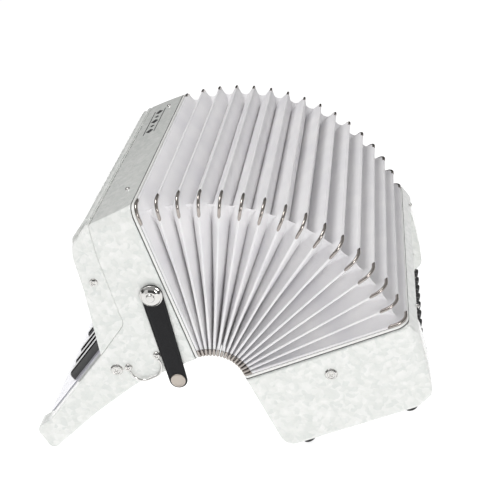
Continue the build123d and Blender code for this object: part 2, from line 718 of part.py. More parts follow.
bass_blocks = []
for depth in (55.0, 110.0):
    with BuildPart() as reed_block:
        with BuildSketch(bass_at(-HALF + 16)):
            outline([(depth - 12, BASS_DECK_LOW), (depth + 12, BASS_DECK_LOW), (depth + 7, 3.0),
                     (depth - 7, 3.0)])
        extrude(amount=LENGTH - 32)
    bass_blocks.append(reed_block)
save("bass_reed_blocks", *bass_blocks)

# Four domed rubber feet on the outer face.
FOOT_R = 7.0
FOOT_H = 6.4
FOOT_PLACES = [(26.5, -HALF + 13), (134.0, -HALF + 13), (26.5, HALF - 13), (134.0, HALF - 13)]
feet = []
for depth, y in FOOT_PLACES:
    with BuildPart() as foot:
        with BuildSketch(face_plane(BASS, BASS_DEPTH + FOOT_H)):
            with Locations((depth, y)):
                Circle(FOOT_R)
        extrude(amount=FOOT_H)
        fillet(faces().sort_by(Axis(BASS.origin, BASS.y_dir))[-1].edges(), 2.5)
    feet.append(foot)
save("rubber_feet", *feet)

# Bass strap: a leather band lying along the outer face, with a riveted bracket at each end.
BAND_FROM, BAND_TO = 67.0, 97.0
BAND_T = 2.2
band_clear = 0.6
with BuildPart() as bass_strap:
    with BuildSketch(face_plane(BASS, BASS_DEPTH + band_clear + BAND_T)):
        with Locations(((BAND_FROM + BAND_TO) / 2, 0)):
            RectangleRounded(BAND_TO - BAND_FROM, LENGTH - 30, 4)
    extrude(amount=BAND_T)
save("bass_strap", bass_strap)

with BuildPart() as bracket_plates:
    for y in (-HALF + 22, HALF - 22):
        with BuildSketch(face_plane(BASS, BASS_DEPTH + band_clear)):
            with Locations(((BAND_FROM + BAND_TO) / 2, y)):
                Rectangle(22, 10)
        extrude(amount=band_clear)
save("bass_strap_brackets", bracket_plates)

with BuildPart() as strap_wheel:
    with BuildSketch(face_plane(BASS, WHEEL_AT[1] + WHEEL_T / 2)):
        with Locations((WHEEL_AT[0], WHEEL_Y)):
            Circle(WHEEL_R)
            with PolarLocations(WHEEL_R, 24):
                Circle(0.8, mode=Mode.SUBTRACT)
    extrude(amount=WHEEL_T)
save("strap_wheel", strap_wheel)


# ---------------------------------------------------------------- fittings on both ends
SNAP = (79.0, 13.6)       # bellows strap snap on the treble end
STRAP_HANG = 173.6        # direction in which the strap hangs, in the treble profile
RIVET = (
    SNAP[0] + STRAP_LENGTH * math.cos(math.radians(STRAP_HANG)),
    SNAP[1] + STRAP_LENGTH * math.sin(math.radians(STRAP_HANG)),
)
STUD = (79.5, 23.1)       # stud on the bass end that takes the strap when the bellows is closed
STUD_R = 6.2
STUD_H = 2.2
SOCKET_R = 7.3
STRAP_GAP = 0.6


def on_end(profile_plane, side, point, lift=0.0):
    """A plane on one end of a casing, facing outwards: side -1 is the high-note end."""
    origin = profile_plane.from_local_coords((*point, 0)) + Vector(0, side * (HALF + lift), 0)
    return Plane(origin=origin, x_dir=profile_plane.x_dir, z_dir=(0, side, 0))


def turned(plane, *corners):
    """A turned fitting: its half outline, as (radius, height), revolved about the plane's normal."""
    with BuildPart() as made:
        with BuildSketch(Plane(origin=plane.origin, x_dir=plane.x_dir, z_dir=-plane.y_dir)):
            outline(corners)
        revolve(axis=Axis(plane.origin, plane.z_dir))
    return made


def cup_screw(plane, radius=STUD_R, height=STUD_H):
    """A cupped washer with a countersunk screw in it."""
    return turned(plane, (0, 0), (radius, 0), (radius, 0.6), (radius * 0.6, height), (0, height))


def dome_screw(plane, radius, height):
    return turned(plane, (0, 0), (radius, 0), (radius, height * 0.25), (radius * 0.72, height * 0.8),
                  (radius * 0.3, height), (0, height))


def front_pin(profile_plane, point, y):
    """A small pin driven into the front of a casing, to hold the bellows frame."""
    origin = profile_plane.from_local_coords((*point, 0)) + Vector(0, y, 0)
    plane = Plane(origin=origin, x_dir=(0, 1, 0), z_dir=profile_plane.x_dir)
    return dome_screw(plane, 2.4, 1.8)


CHEEK_SCREW = (11.0, 79.0)
COVER_SCREW = (107.0, 61.5)
TREBLE_PIN = (DEPTH - 1.3, 14.0)
BASS_PIN = (DEPTH + 4.6, 14.0)
PIN_PLACES = (-104.0, 129.0)
BAIL_HIGH = (10.5, 66.5)
BAIL_LOW = (15.5, 34.5)
BAIL_SCREW_R = 3.8
BAIL_LIFT = 2.6           # height of the bail's wire above the end
BAIL_DEPTH = 19.5
BAIL_WIRE_R = 1.0
BAIL_START = BAIL_SCREW_R + 0.3

snaps = []
treble_screws = []
bass_screws = []
for side, end_name in ((-1, "bottom"), (1, "top")):
    strap_base = -HALF - STRAP_GAP if side < 0 else HALF + STRAP_GAP + STRAP_T
    with BuildPart() as strap:
        with BuildSketch(treble_at(strap_base)):
            with Locations(SNAP):
                Circle(10.8)
            with Locations(RIVET):
                Circle(8.9)
            make_hull()
            with Locations(SNAP):
                Circle(3.3, mode=Mode.SUBTRACT)
            with Locations(RIVET):
                Circle(STUD_R + 0.4, mode=Mode.SUBTRACT)
        extrude(amount=STRAP_T)
    socket = turned(on_end(TREBLE, side, RIVET, STRAP_GAP + STRAP_T),
                    (0, 0), (SOCKET_R, 0), (SOCKET_R - 0.8, 1.2), (0, 1.2))
    save(f"bellows_strap_{end_name}", strap, socket)

    under_cap = STRAP_GAP + STRAP_T + 0.3
    snaps.append(turned(on_end(TREBLE, side, SNAP), (0, 0), (3.0, 0), (3.0, under_cap),
                        (10.9, under_cap), (10.9, under_cap + 1.2), (8.6, under_cap + 4.0),
                        (4.2, under_cap + 5.0), (3.8, under_cap + 6.2), (0, under_cap + 6.6)))
    treble_screws += [
        cup_screw(on_end(TREBLE, side, CHEEK_SCREW)),
        dome_screw(on_end(TREBLE, side, COVER_SCREW), 4.0, 2.6),
        dome_screw(on_end(TREBLE, side, BAIL_HIGH), BAIL_SCREW_R, 3.4),
        dome_screw(on_end(TREBLE, side, BAIL_LOW), BAIL_SCREW_R, 3.4),
    ]
    bass_screws.append(cup_screw(on_end(BASS, side, STUD)))

    # Wire bail hanging between its two screws.
    bail_plane = on_end(TREBLE, side, BAIL_HIGH, BAIL_LIFT)
    low = bail_plane.to_local_coords(on_end(TREBLE, side, BAIL_LOW, BAIL_LIFT).origin)
    hang = Vector(-abs(low.Y), -low.X * (1 if low.Y < 0 else -1), 0).normalized()
    high_start = hang * BAIL_START
    low_start = low + hang * BAIL_START
    drop = hang * (BAIL_DEPTH - BAIL_START)
    with BuildPart() as bail:
        with BuildLine(bail_plane):
            FilletPolyline(
                (high_start.X, high_start.Y), ((high_start + drop).X, (high_start + drop).Y),
                ((low_start + drop).X, (low_start + drop).Y), (low_start.X, low_start.Y), radius=13.0,
            )
        start = bail_plane.from_local_coords(high_start)
        toward = bail_plane.from_local_coords(high_start + drop)
        with BuildSketch(Plane(origin=start, z_dir=toward - start)):
            Circle(BAIL_WIRE_R)
        sweep()
    save(f"bail_{end_name}", bail)

for y in PIN_PLACES:
    treble_screws.append(front_pin(TREBLE, TREBLE_PIN, y))
    bass_screws.append(front_pin(BASS, BASS_PIN, y))
save("strap_snaps", *snaps)
save("treble_screws", *treble_screws)
save("bass_screws", *bass_screws)
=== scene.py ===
"""Looks of the piano accordion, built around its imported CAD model. Lengths are in metres."""

import json
import math

import bmesh
import bpy
from mathutils import Matrix, Vector, noise


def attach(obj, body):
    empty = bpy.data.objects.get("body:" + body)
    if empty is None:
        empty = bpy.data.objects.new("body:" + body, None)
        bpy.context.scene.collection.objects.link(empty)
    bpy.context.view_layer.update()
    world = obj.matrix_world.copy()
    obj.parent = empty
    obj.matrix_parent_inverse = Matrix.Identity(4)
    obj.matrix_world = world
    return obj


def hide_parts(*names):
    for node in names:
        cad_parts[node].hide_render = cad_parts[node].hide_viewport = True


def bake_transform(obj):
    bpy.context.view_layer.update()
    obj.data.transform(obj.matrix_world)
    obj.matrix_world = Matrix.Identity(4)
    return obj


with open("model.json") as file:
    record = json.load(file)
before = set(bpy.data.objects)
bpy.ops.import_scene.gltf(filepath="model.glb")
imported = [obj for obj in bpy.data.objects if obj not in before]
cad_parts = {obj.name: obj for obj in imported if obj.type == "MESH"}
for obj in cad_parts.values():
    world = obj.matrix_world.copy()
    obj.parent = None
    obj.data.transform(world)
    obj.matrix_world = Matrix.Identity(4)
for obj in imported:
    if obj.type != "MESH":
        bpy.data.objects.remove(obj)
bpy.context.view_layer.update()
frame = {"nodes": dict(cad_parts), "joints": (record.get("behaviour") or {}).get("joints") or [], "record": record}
NODES = frame["nodes"]
JOINTS = {joint["name"]: joint for joint in frame["joints"]}
MM = 0.001

# ---------------------------------------------------------------- shared dimensions
HALF = 160 * MM           # half the length of the casings and bellows
DEPTH = 167 * MM          # front-to-back depth at the bellows
FRONT_R = 12 * MM         # corner radii of the bellows, at the front and at the back
BACK_R = 4 * MM
FOLDS = 16
FOLD_PITCH = 3.28 * MM    # between neighbouring folds at the back, where they hinge
FOLD_FAN = 5.69           # degrees between neighbouring folds
FOLD_DEPTH = 19 * MM      # from the ridges down to the bottom of a valley
SEAM_TO_FOLD = 4.8 * MM   # from a casing's seam to the first fold
TREBLE_LEAN = 105.72      # degrees, lean of the treble seam above the floor
BASS_LEAN = TREBLE_LEAN - (FOLDS - 1) * FOLD_FAN
LENGTHWAYS = Vector((0, 1, 0))


# ---------------------------------------------------------------- places
class Section:
    """A cut across the bellows or a casing: depth from back to front, y along the length, out."""

    def __init__(self, origin, lean, out_sign=1):
        turn = math.radians(lean)
        self.origin = Vector(origin)
        self.along = Vector((math.cos(turn), 0, math.sin(turn)))
        self.out = Vector((math.sin(turn), 0, -math.cos(turn))) * out_sign

    def at(self, depth, y, out=0.0):
        return self.origin + self.along * depth + LENGTHWAYS * y + self.out * out

    def moved(self, out):
        copy = Section(self.origin, 0)
        copy.along = self.along
        copy.out = self.out
        copy.origin = self.origin + self.out * out
        return copy


def fold_sections():
    """The section of every fold, found from the hinges between them."""
    found = []
    for number in range(1, FOLDS):
        hinge = Vector(JOINTS[f"bellows_{number:02d}"]["pos_m"])
        hinge.y = 0
        found.append(Section(hinge, TREBLE_LEAN - (number - 1) * FOLD_FAN).moved(-FOLD_PITCH / 2))
    found.append(Section(hinge, BASS_LEAN).moved(FOLD_PITCH / 2))
    return found


FOLD = fold_sections()
TREBLE = Section(FOLD[0].at(0, 0, -SEAM_TO_FOLD), TREBLE_LEAN, -1)
BASS = Section(FOLD[-1].at(0, 0, SEAM_TO_FOLD), BASS_LEAN)


def fold_body(index):
    """The CAD body that a fold rides on: the end folds belong to the casings."""
    if index == 0:
        return "treble_side"
    if index == FOLDS - 1:
        return "bass_side"
    return f"fold_{index + 1:02d}"


# ---------------------------------------------------------------- materials
def opaque(value):
    return (*value, 1.0)


class Shader:
    """A Principled material with short ways to add procedural nodes."""

    def __init__(self, name, color, roughness=0.5, metallic=0.0, coat=0.0, coat_roughness=0.03,
                 sheen=0.0, specular=0.5):
        self.material = bpy.data.materials.new(name)
        self.material.use_nodes = True
        self.tree = self.material.node_tree
        self.base = self.tree.nodes["Principled BSDF"]
        self.set("Base Color", opaque(color))
        self.set("Roughness", roughness)
        self.set("Metallic", metallic)
        self.set("Coat Weight", coat)
        self.set("Coat Roughness", coat_roughness)
        self.set("Sheen Weight", sheen)
        self.set("Specular IOR Level", specular)
        self.place = self.node("ShaderNodeTexCoord").outputs["Object"]

    def set(self, socket, value):
        self.base.inputs[socket].default_value = value

    def node(self, kind, **values):
        made = self.tree.nodes.new(kind)
        for key, value in values.items():
            if key in made.inputs:
                made.inputs[key].default_value = value
            else:
                setattr(made, key, value)
        return made

    def link(self, output, target):
        self.tree.links.new(output, target)

    def noise(self, scale, detail=3.0, distortion=0.0):
        made = self.node("ShaderNodeTexNoise", Scale=scale, Detail=detail, Distortion=distortion)
        self.link(self.place, made.inputs["Vector"])
        return made

    def warped(self, source, amount):
        """The place on the object, pushed about by a noise's colour."""
        made = self.node("ShaderNodeVectorMath", operation="MULTIPLY_ADD")
        self.link(source.outputs["Color"], made.inputs[0])
        made.inputs[1].default_value = (amount, amount, amount)
        self.link(self.place, made.inputs[2])
        return made.outputs[0]

    def cells(self, place, scale, **values):
        made = self.node("ShaderNodeTexVoronoi", Scale=scale, **values)
        self.link(place, made.inputs["Vector"])
        return made

    def ramp(self, source, stops):
        made = self.node("ShaderNodeValToRGB")
        ramp = made.color_ramp
        while len(ramp.elements) < len(stops):
            ramp.elements.new(0.5)
        for element, (position, color) in zip(ramp.elements, stops):
            element.position = position
            element.color = opaque(color)
        self.link(source, made.inputs["Fac"])
        return made.outputs["Color"]

    def scalar(self, source, low, high):
        made = self.node("ShaderNodeMapRange")
        made.inputs["To Min"].default_value = low
        made.inputs["To Max"].default_value = high
        self.link(source, made.inputs["Value"])
        return made.outputs["Result"]

    def bump(self, source, distance, strength=1.0, after=None):
        made = self.node("ShaderNodeBump", Strength=strength, Distance=distance)
        self.link(source, made.inputs["Height"])
        if after:
            self.link(after, made.inputs["Normal"])
        return made.outputs["Normal"]

    def mix(self, fac, first, second):
        made = self.node("ShaderNodeMix", data_type="RGBA")
        for socket, value in (("Factor", fac), ("A", first), ("B", second)):
            target = [i for i in made.inputs if i.name == socket and i.enabled][0]
            if isinstance(value, bpy.types.NodeSocket):
                self.link(value, target)
            else:
                target.default_value = opaque(value) if isinstance(value, tuple) else value
        return [o for o in made.outputs if o.enabled][0]

    def color(self, source):
        self.link(source, self.base.inputs["Base Color"])

    def rough(self, source):
        self.link(source, self.base.inputs["Roughness"])

    def normal(self, source):
        self.link(source, self.base.inputs["Normal"])


def pearloid():
    """White pearl celluloid: flakes of slightly different white under a gloss coat."""
    shader = Shader("pearloid", (0.84, 0.85, 0.83), roughness=0.42, coat=1.0, coat_roughness=0.06,
                    specular=0.35)
    warped = shader.warped(shader.noise(75.0), 0.011)
    flakes = shader.cells(warped, 230.0)
    streaks = shader.cells(warped, 105.0, feature="SMOOTH_F1", Smoothness=0.6)
    tint = shader.ramp(flakes.outputs["Color"], [
        (0.15, (0.69, 0.715, 0.69)), (0.45, (0.79, 0.80, 0.77)), (0.8, (0.88, 0.88, 0.86)),
    ])
    cloud = shader.ramp(streaks.outputs["Distance"], [
        (0.1, (0.90, 0.90, 0.885)), (0.55, (0.75, 0.77, 0.745)),
    ])
    shader.color(shader.mix(0.45, tint, cloud))
    shader.normal(shader.bump(flakes.outputs["Distance"], 0.0016, 0.35))
    return shader.material


def bellows_cloth():
    """Satin book cloth over card: a fine weave with faint soiling along the lengths."""
    shader = Shader("bellows_cloth", (0.84, 0.83, 0.84), roughness=0.55, sheen=0.25, specular=0.35)
    threads = {}
    for axis in ("Y", "Z", "X"):
        wave = shader.node("ShaderNodeTexWave", bands_direction=axis, Scale=900.0, Distortion=1.2)
        shader.link(shader.place, wave.inputs["Vector"])
        threads[axis] = wave.outputs["Color"]
    two = shader.mix(0.5, threads["Y"], threads["Z"])
    weave = shader.mix(0.33, two, threads["X"])
    soft = shader.noise(26.0, detail=4.0)
    fibre = shader.noise(420.0, detail=2.0)
    shader.color(shader.ramp(soft.outputs["Fac"], [
        (0.3, (0.80, 0.79, 0.81)), (0.7, (0.875, 0.865, 0.87)),
    ]))
    shader.rough(shader.scalar(fibre.outputs["Fac"], 0.45, 0.68))
    fine = shader.bump(weave, 0.00006, 0.6)
    shader.normal(shader.bump(soft.outputs["Fac"], 0.0009, 0.25, after=fine))
    return shader.material


def painted_wood(name, color):
    """Wood under brushed paint, with its grain just showing through."""
    shader = Shader(name, color, roughness=0.36, coat=0.35, coat_roughness=0.2)
    grain = shader.noise(160.0, detail=4.0)
    darker = tuple(0.95 * value for value in color)
    shader.color(shader.mix(grain.outputs["Fac"], darker, color))
    shader.rough(shader.scalar(grain.outputs["Fac"], 0.3, 0.46))
    shader.normal(shader.bump(grain.outputs["Fac"], 0.0003, 0.2))
    return shader.material


def bare_wood():
    """Unfinished wood with growth rings."""
    shader = Shader("bare_wood", (0.62, 0.44, 0.26), roughness=0.6)
    rings = shader.node("ShaderNodeTexWave", Scale=60.0, Distortion=6.0, Detail=3.0)
    shader.link(shader.place, rings.inputs["Vector"])
    shader.color(shader.ramp(rings.outputs["Fac"], [
        (0.2, (0.52, 0.35, 0.2)), (0.8, (0.7, 0.52, 0.33)),
    ]))
    shader.normal(shader.bump(rings.outputs["Fac"], 0.0002, 0.4))
    return shader.material


def metal(name, color, roughness):
    """Plated metal: faint streaks and wear in its polish."""
    shader = Shader(name, color, roughness=roughness, metallic=1.0)
    haze = shader.noise(90.0, detail=5.0)
    fine = shader.noise(1500.0, detail=2.0)
    shader.rough(shader.scalar(haze.outputs["Fac"], roughness * 0.6, roughness * 1.7))
    dull = tuple(0.86 * value for value in color)
    shader.color(shader.mix(haze.outputs["Fac"], dull, color))
    shader.normal(shader.bump(fine.outputs["Fac"], 0.00003, 0.3))
    return shader.material


def gloss(name, color, roughness, lift=0.02):
    """Polished plastic or celluloid; lift is how much lighter it is where it is worn."""
    shader = Shader(name, color, roughness=roughness, coat=0.6, coat_roughness=0.05)
    wear = shader.noise(70.0, detail=5.0, distortion=0.6)
    shader.rough(shader.scalar(wear.outputs["Fac"], roughness * 0.6, roughness * 2.2))
    lighter = tuple(min(1.0, value + lift) for value in color)
    shader.color(shader.mix(wear.outputs["Fac"], color, lighter))
    orange_peel = shader.noise(240.0, detail=1.0)
    shader.normal(shader.bump(orange_peel.outputs["Fac"], 0.0002, 0.12))
    return shader.material


def leather():
    """Black strap leather with a pebbled grain, painted lighter on the grain's tops as a painted highlight and
    darker in the creases between them as painted shade.
    """
    shader = Shader("strap_leather", (0.012, 0.012, 0.013), roughness=0.5, specular=0.22)
    warp = shader.noise(160.0)
    pebble = shader.cells(shader.warped(warp, 0.001), 1150.0, feature="DISTANCE_TO_EDGE")
    # Painted highlight and painted shade: the colour is lighter in the middles of the pebbles, the grain's tops,
    # and darker along their edges, the creases.
    shader.color(shader.ramp(pebble.outputs["Distance"], [
        (0.0, (0.004, 0.004, 0.005)), (0.25, (0.013, 0.013, 0.015)),
    ]))
    shader.rough(shader.scalar(warp.outputs["Fac"], 0.38, 0.62))
    shader.normal(shader.bump(pebble.outputs["Distance"], 0.00025, 0.5))
    return shader.material


def dark_grained(shader, scale, detail, greys, relief, strength):
    """Gives a dark matte material its fine grain: greys are (position, value) pairs."""
    grain = shader.noise(scale, detail=detail).outputs["Fac"]
    shader.color(shader.ramp(grain, [(position, (grey,) * 3) for position, grey in greys]))
    shader.normal(shader.bump(grain, relief, strength))
    return shader.material


def rubber():
    shader = Shader("foot_rubber", (0.03, 0.03, 0.032), roughness=0.7, specular=0.3)
    return dark_grained(shader, 900.0, 3.0, ((0.3, 0.022), (0.75, 0.05)), 0.0001, 0.5)


def felt(name):
    shader = Shader(name, (0.02, 0.02, 0.02), roughness=0.95, specular=0.2)
    return dark_grained(shader, 1600.0, 4.0, ((0.3, 0.010), (0.7, 0.03)), 0.0002, 0.6)


def matte_black(name):
    shader = Shader(name, (0.018, 0.018, 0.019), roughness=0.5)
    return dark_grained(shader, 700.0, 3.0, ((0.3, 0.012), (0.75, 0.03)), 0.00008, 0.4)


MATERIAL = {
    "pearloid": pearloid(),
    "bellows_cloth": bellows_cloth(),
    "bellows_frame": painted_wood("bellows_frame", (0.86, 0.86, 0.84)),
    "gasket_felt": felt("gasket_felt"),
    "reed_wood": bare_wood(),
    "machine_metal": metal("machine_metal", (0.7, 0.71, 0.72), 0.35),
    "spring_steel": metal("spring_steel", (0.6, 0.6, 0.6), 0.3),
    "white_key": gloss("white_key", (0.64, 0.63, 0.71), 0.14),
    "black_key": gloss("black_key", (0.006, 0.006, 0.007), 0.16, lift=0.005),
    "black_plastic": matte_black("black_plastic"),
    "black_button": gloss("black_button", (0.015, 0.015, 0.016), 0.2, lift=0.012),
    "air_button": gloss("air_button", (0.8, 0.8, 0.78), 0.18),
    "foot_rubber": rubber(),
    "strap_leather": leather(),
    "nickel": metal("nickel", (0.70, 0.69, 0.67), 0.08),
    "wheel_plastic": matte_black("wheel_plastic"),
    "strap_rivet": metal("strap_rivet", (0.52, 0.47, 0.42), 0.34),
    "thread": matte_black("thread"),
    "cap_plating": metal("cap_plating", (0.42, 0.385, 0.36), 0.15),
    "grille_cloth": felt("grille_cloth"),
    "ornament": gloss("ornament", (0.02, 0.02, 0.022), 0.3),
}


# ---------------------------------------------------------------- mesh helpers
SHARP_ANGLE = 42          # degrees: edges sharper than this keep a crisp shading


def piece_from(name, vertices, faces, slot, body=None):
    """A smooth-shaded mesh object with its material and, if given, the body that it rides on."""
    mesh = bpy.data.meshes.new(name)
    mesh.from_pydata([tuple(v) for v in vertices], [], faces)
    mesh.validate()
    piece = bpy.data.objects.new(name, mesh)
    bpy.context.scene.collection.objects.link(piece)
    piece.data.materials.append(MATERIAL[slot])
    fix_normals(piece)
    piece.data.shade_smooth()
    piece.data.set_sharp_from_angle(angle=math.radians(SHARP_ANGLE))
    if body:
        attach(piece, body)
    return piece


def fix_normals(piece):
    work = bmesh.new()
    work.from_mesh(piece.data)
    bmesh.ops.recalc_face_normals(work, faces=work.faces)
    work.to_mesh(piece.data)
    work.free()


def grid_faces(rows, columns, close_rows=False, close_columns=False):
    """Quads over a rows by columns grid of vertices, wrapped round where it closes."""
    faces = []
    for row in range(rows if close_rows else rows - 1):
        for column in range(columns if close_columns else columns - 1):
            here, beside = column, (column + 1) % columns
            this, following = row * columns, (row + 1) % rows * columns
            faces.append((this + here, this + beside, following + beside, following + here))
    return faces


def lid_faces(rows, columns):
    """One flat face over the first row of a grid and one over the last."""
    last = (rows - 1) * columns
    return [tuple(range(columns)), tuple(range(last, last + columns))]


def capped_faces(rows, columns):
    """A grid that closes round its rows, shut at both ends."""
    return grid_faces(rows, columns, close_columns=True) + lid_faces(rows, columns)


def blend_between(low, high, share):
    return low + (high - low) * share


# ---------------------------------------------------------------- bellows
class RingPath:
    """The closed outline of the bellows at any inset: stations keep their order as it shrinks."""

    SIDE_STEPS = {"front": 36, "end": 30, "back": 14}
    ARC_STEPS = 8
    SHARPEST = 1.2 * MM

    def __init__(self):
        # Corners in order: back near, front near, front far, back far, and the side that follows.
        self.corners = [
            (0, -1, BACK_R, "end"), (1, -1, FRONT_R, "front"),
            (1, 1, FRONT_R, "end"), (0, 1, BACK_R, "back"),
        ]
        self.stations = []
        for index, (_, _, radius, side) in enumerate(self.corners):
            for step in range(self.ARC_STEPS + 1):
                share = step / self.ARC_STEPS
                self.stations.append((index, share, None, abs(share - 0.5) * radius * math.pi / 2))
            steps = self.SIDE_STEPS[side]
            for step in range(1, steps):
                self.stations.append((index, None, 0.5 - 0.5 * math.cos(math.pi * step / steps), None))

    def corner_point(self, index, share, inset):
        front, side, radius, _ = self.corners[index]
        shrunk = max(radius - inset, self.SHARPEST)
        centre_depth = inset + shrunk if front == 0 else DEPTH - inset - shrunk
        centre_y = side * (HALF - inset - shrunk)
        start = {(0, -1): 180, (1, -1): 270, (1, 1): 0, (0, 1): 90}[(front, side)]
        angle = math.radians(start + 90 * share)
        return centre_depth + shrunk * math.cos(angle), centre_y + shrunk * math.sin(angle)

    def point(self, station, inset):
        """(depth, y) of a station with the outline shrunk by inset."""
        index, share, along, _ = station
        if share is not None:
            return self.corner_point(index, share, inset)
        start = self.corner_point(index, 1, inset)
        end = self.corner_point((index + 1) % 4, 0, inset)
        return blend_between(start[0], end[0], along), blend_between(start[1], end[1], along)

    def corner_distance(self, station):
        """Distance round the outline to the nearest corner's middle, whether that corner is at the
        front, and whether the station is on an end face."""
        index, share, along, distance = station
        if share is not None:
            return distance, self.corners[index][0] == 1, self.faces_end(index, share)
        start, end = self.corner_point(index, 1, 0), self.corner_point((index + 1) % 4, 0, 0)
        length = math.dist(start, end)
        here, there = along * length, (1 - along) * length
        nearest = index if here <= there else (index + 1) % 4
        arc = self.corners[nearest][2] * math.pi / 4
        return min(here, there) + arc, self.corners[nearest][0] == 1, self.corners[index][3] == "end"

    def faces_end(self, index, share):
        """True on the half of a corner that belongs to an end face."""
        arrives_on_end = index in (1, 3)
        return (share < 0.5) == arrives_on_end


RING = RingPath()
CLOTH_T = 0.6 * MM
CLOTH_INSET = 0.35 * MM   # the cloth starts this far below the ridge line
RIDGE_HALF = 0.45 * MM
PLEAT_STEPS = 24
PLEAT_CROWDING = 1.5      # how much closer together the steps are at the bottom of the valley
# Shape of the valley: 1 is a sharp V between the ridges, less makes its sides bulge outwards.
BULGE_TREBLE = 0.66
BULGE_BASS = 0.95
GUSSET_END = 25 * MM      # how far a corner's gusset reaches along the end face
GUSSET_FRONT = 15 * MM
GUSSET_BACK = 5 * MM
GUSSET_LOW = 0.40         # depth of the valley at the corner, as a share of the full depth
GUSSET_SLOPE = 0.12       # how much of the depth past that floor remains
RIPPLE = 0.07             # unevenness of the valley, as a share of its depth
RIPPLE_SCALE = 38         # ripples in one metre
RIPPLE_STEP = 3.1         # moves each pleat to a different part of the noise


def pleat_depth(share, station, bulge):
    """Depth of the valley surface below the ridge line, share of the way from ridge to ridge."""
    trough = 1 - abs(2 * share - 1) ** bulge
    distance, at_front, on_end = RING.corner_distance(station)
    reach = (GUSSET_END if on_end else GUSSET_FRONT) if at_front else GUSSET_BACK
    limit = GUSSET_LOW + (1 - GUSSET_LOW) * min(distance / reach, 1.0)
    if trough > limit:
        trough = limit + GUSSET_SLOPE * (trough - limit)
    return trough * FOLD_DEPTH


def pleat(index):
    """The cloth trough between two neighbouring ridges, all round the bellows."""
    first, second = FOLD[index], FOLD[index + 1]
    bulge = blend_between(BULGE_TREBLE, BULGE_BASS, index / (FOLDS - 2))
    # Steps are closer together at the bottom of the valley, where the cloth turns sharply.
    even = [2 * step / PLEAT_STEPS - 1 for step in range(PLEAT_STEPS + 1)]
    shares = [0.5 + 0.5 * math.copysign(abs(step) ** PLEAT_CROWDING, step) for step in even]
    layers = [(share, 0.0) for share in shares] + [(share, CLOTH_T) for share in reversed(shares)]
    vertices = []
    for station in RING.stations:
        for share, thickness in layers:
            depth = pleat_depth(share, station, bulge)
            at = RING.point(station, depth)
            place = first.at(*at).lerp(second.at(*at), share)
            wave = noise.noise(place * RIPPLE_SCALE + Vector((index * RIPPLE_STEP, 0, 0)))
            depth *= 1 + RIPPLE * wave
            at = RING.point(station, CLOTH_INSET + depth + thickness)
            near = first.at(*at, RIDGE_HALF)
            far = second.at(*at, -RIDGE_HALF)
            vertices.append(near.lerp(far, share))
    faces = grid_faces(len(RING.stations), len(layers), close_rows=True, close_columns=True)
    piece = piece_from(f"pleat_{index + 1:02d}", vertices, faces, "bellows_cloth")
    middle = first.at(DEPTH, 0).lerp(second.at(DEPTH, 0), 0.5)
    across = (second.at(DEPTH, 0) - first.at(DEPTH, 0)).normalized()
    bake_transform(piece)


END_TAPER = (0.55, 0.88)  # width of an open sweep at its last and last but one station


def swept_ring(name, section, stations, outline, slot, body, closed):
    """Sweeps an outline of (inset, out) points along stations of the bellows ring."""
    vertices = []
    for order, station in enumerate(stations):
        ends = min(order, len(stations) - 1 - order)
        shrink = 1.0 if closed or ends >= len(END_TAPER) else END_TAPER[ends]
        for inset, out in outline:
            depth, y = RING.point(station, inset)
            vertices.append(section.at(depth, y, out * shrink))
    faces = grid_faces(len(stations), len(outline), close_rows=closed, close_columns=True)
    if not closed:
        faces += lid_faces(len(stations), len(outline))
    return piece_from(name, vertices, faces, slot, body)


CROWN_STEPS = 8
CROWN_FOOT = 0.86         # width at the foot, as a share of the width at the shoulder


def crown(half_width, top, shoulder, bottom):
    """An upside-down U: flat sides joined by a half-round crown, as (inset, out) points."""
    points = [(bottom, -half_width * CROWN_FOOT)]
    for step in range(CROWN_STEPS + 1):
        angle = math.pi * step / CROWN_STEPS
        points.append((shoulder - (shoulder - top) * math.sin(angle), -half_width * math.cos(angle)))
    points.append((bottom, half_width * CROWN_FOOT))
    return points


# Half width, then the insets of the crown's top, its shoulder and its foot.
TAPE = (1.3 * MM, 0.15 * MM, 1.5 * MM, 4.6 * MM)
CAP = (1.5 * MM, -0.5 * MM, 0.9 * MM, 3.0 * MM)
CAP_LEG = {0: 9 * MM, 1: 19 * MM}     # reach from the corner, at the back and at the front
CAP_LEG_STEPS = 6
CAP_ARC_STEPS = 12


def ridge_tape(index):
    """Cloth tape bound over a fold's ridge."""
    tape = swept_ring(f"ridge_tape_{index + 1:02d}", FOLD[index], RING.stations, crown(*TAPE),
                      "bellows_cloth", fold_body(index), closed=True)
    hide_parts(f"bellows_fold_{index + 1:02d}")


def cap_stations(corner):
    """Stations round one corner of the ring, with evenly spaced ones down both legs."""
    front, _, radius, _ = RING.corners[corner]
    leg = CAP_LEG[front] - radius
    before, after = (corner - 1) % 4, corner
    lengths = {}
    for side in (before, after):
        start, end = RING.corner_point(side, 1, 0), RING.corner_point((side + 1) % 4, 0, 0)
        lengths[side] = math.dist(start, end)
    steps = CAP_LEG_STEPS
    leg_in = [(before, None, 1 - leg * (steps - step) / steps / lengths[before], 0.0)
              for step in range(steps)]
    arc = [(corner, step / CAP_ARC_STEPS, None, 0.0) for step in range(CAP_ARC_STEPS + 1)]
    leg_out = [(after, None, leg * (step + 1) / steps / lengths[after], 0.0) for step in range(steps)]
    return leg_in + arc + leg_out


def ridge_caps(index):
    """The four metal caps that bind a fold's ridge at its corners."""
    for corner, name in enumerate(("back_near", "front_near", "front_far", "back_far")):
        swept_ring(f"cap_{index + 1:02d}_{name}", FOLD[index], cap_stations(corner), crown(*CAP),
                   "cap_plating", fold_body(index), closed=False)


GASKET_T = 0.8 * MM
GASKET_PROUD = 0.25 * MM
GASKET_INSET = (5.0 * MM, 0.2 * MM)   # the buried edge, then where the round of the bead begins


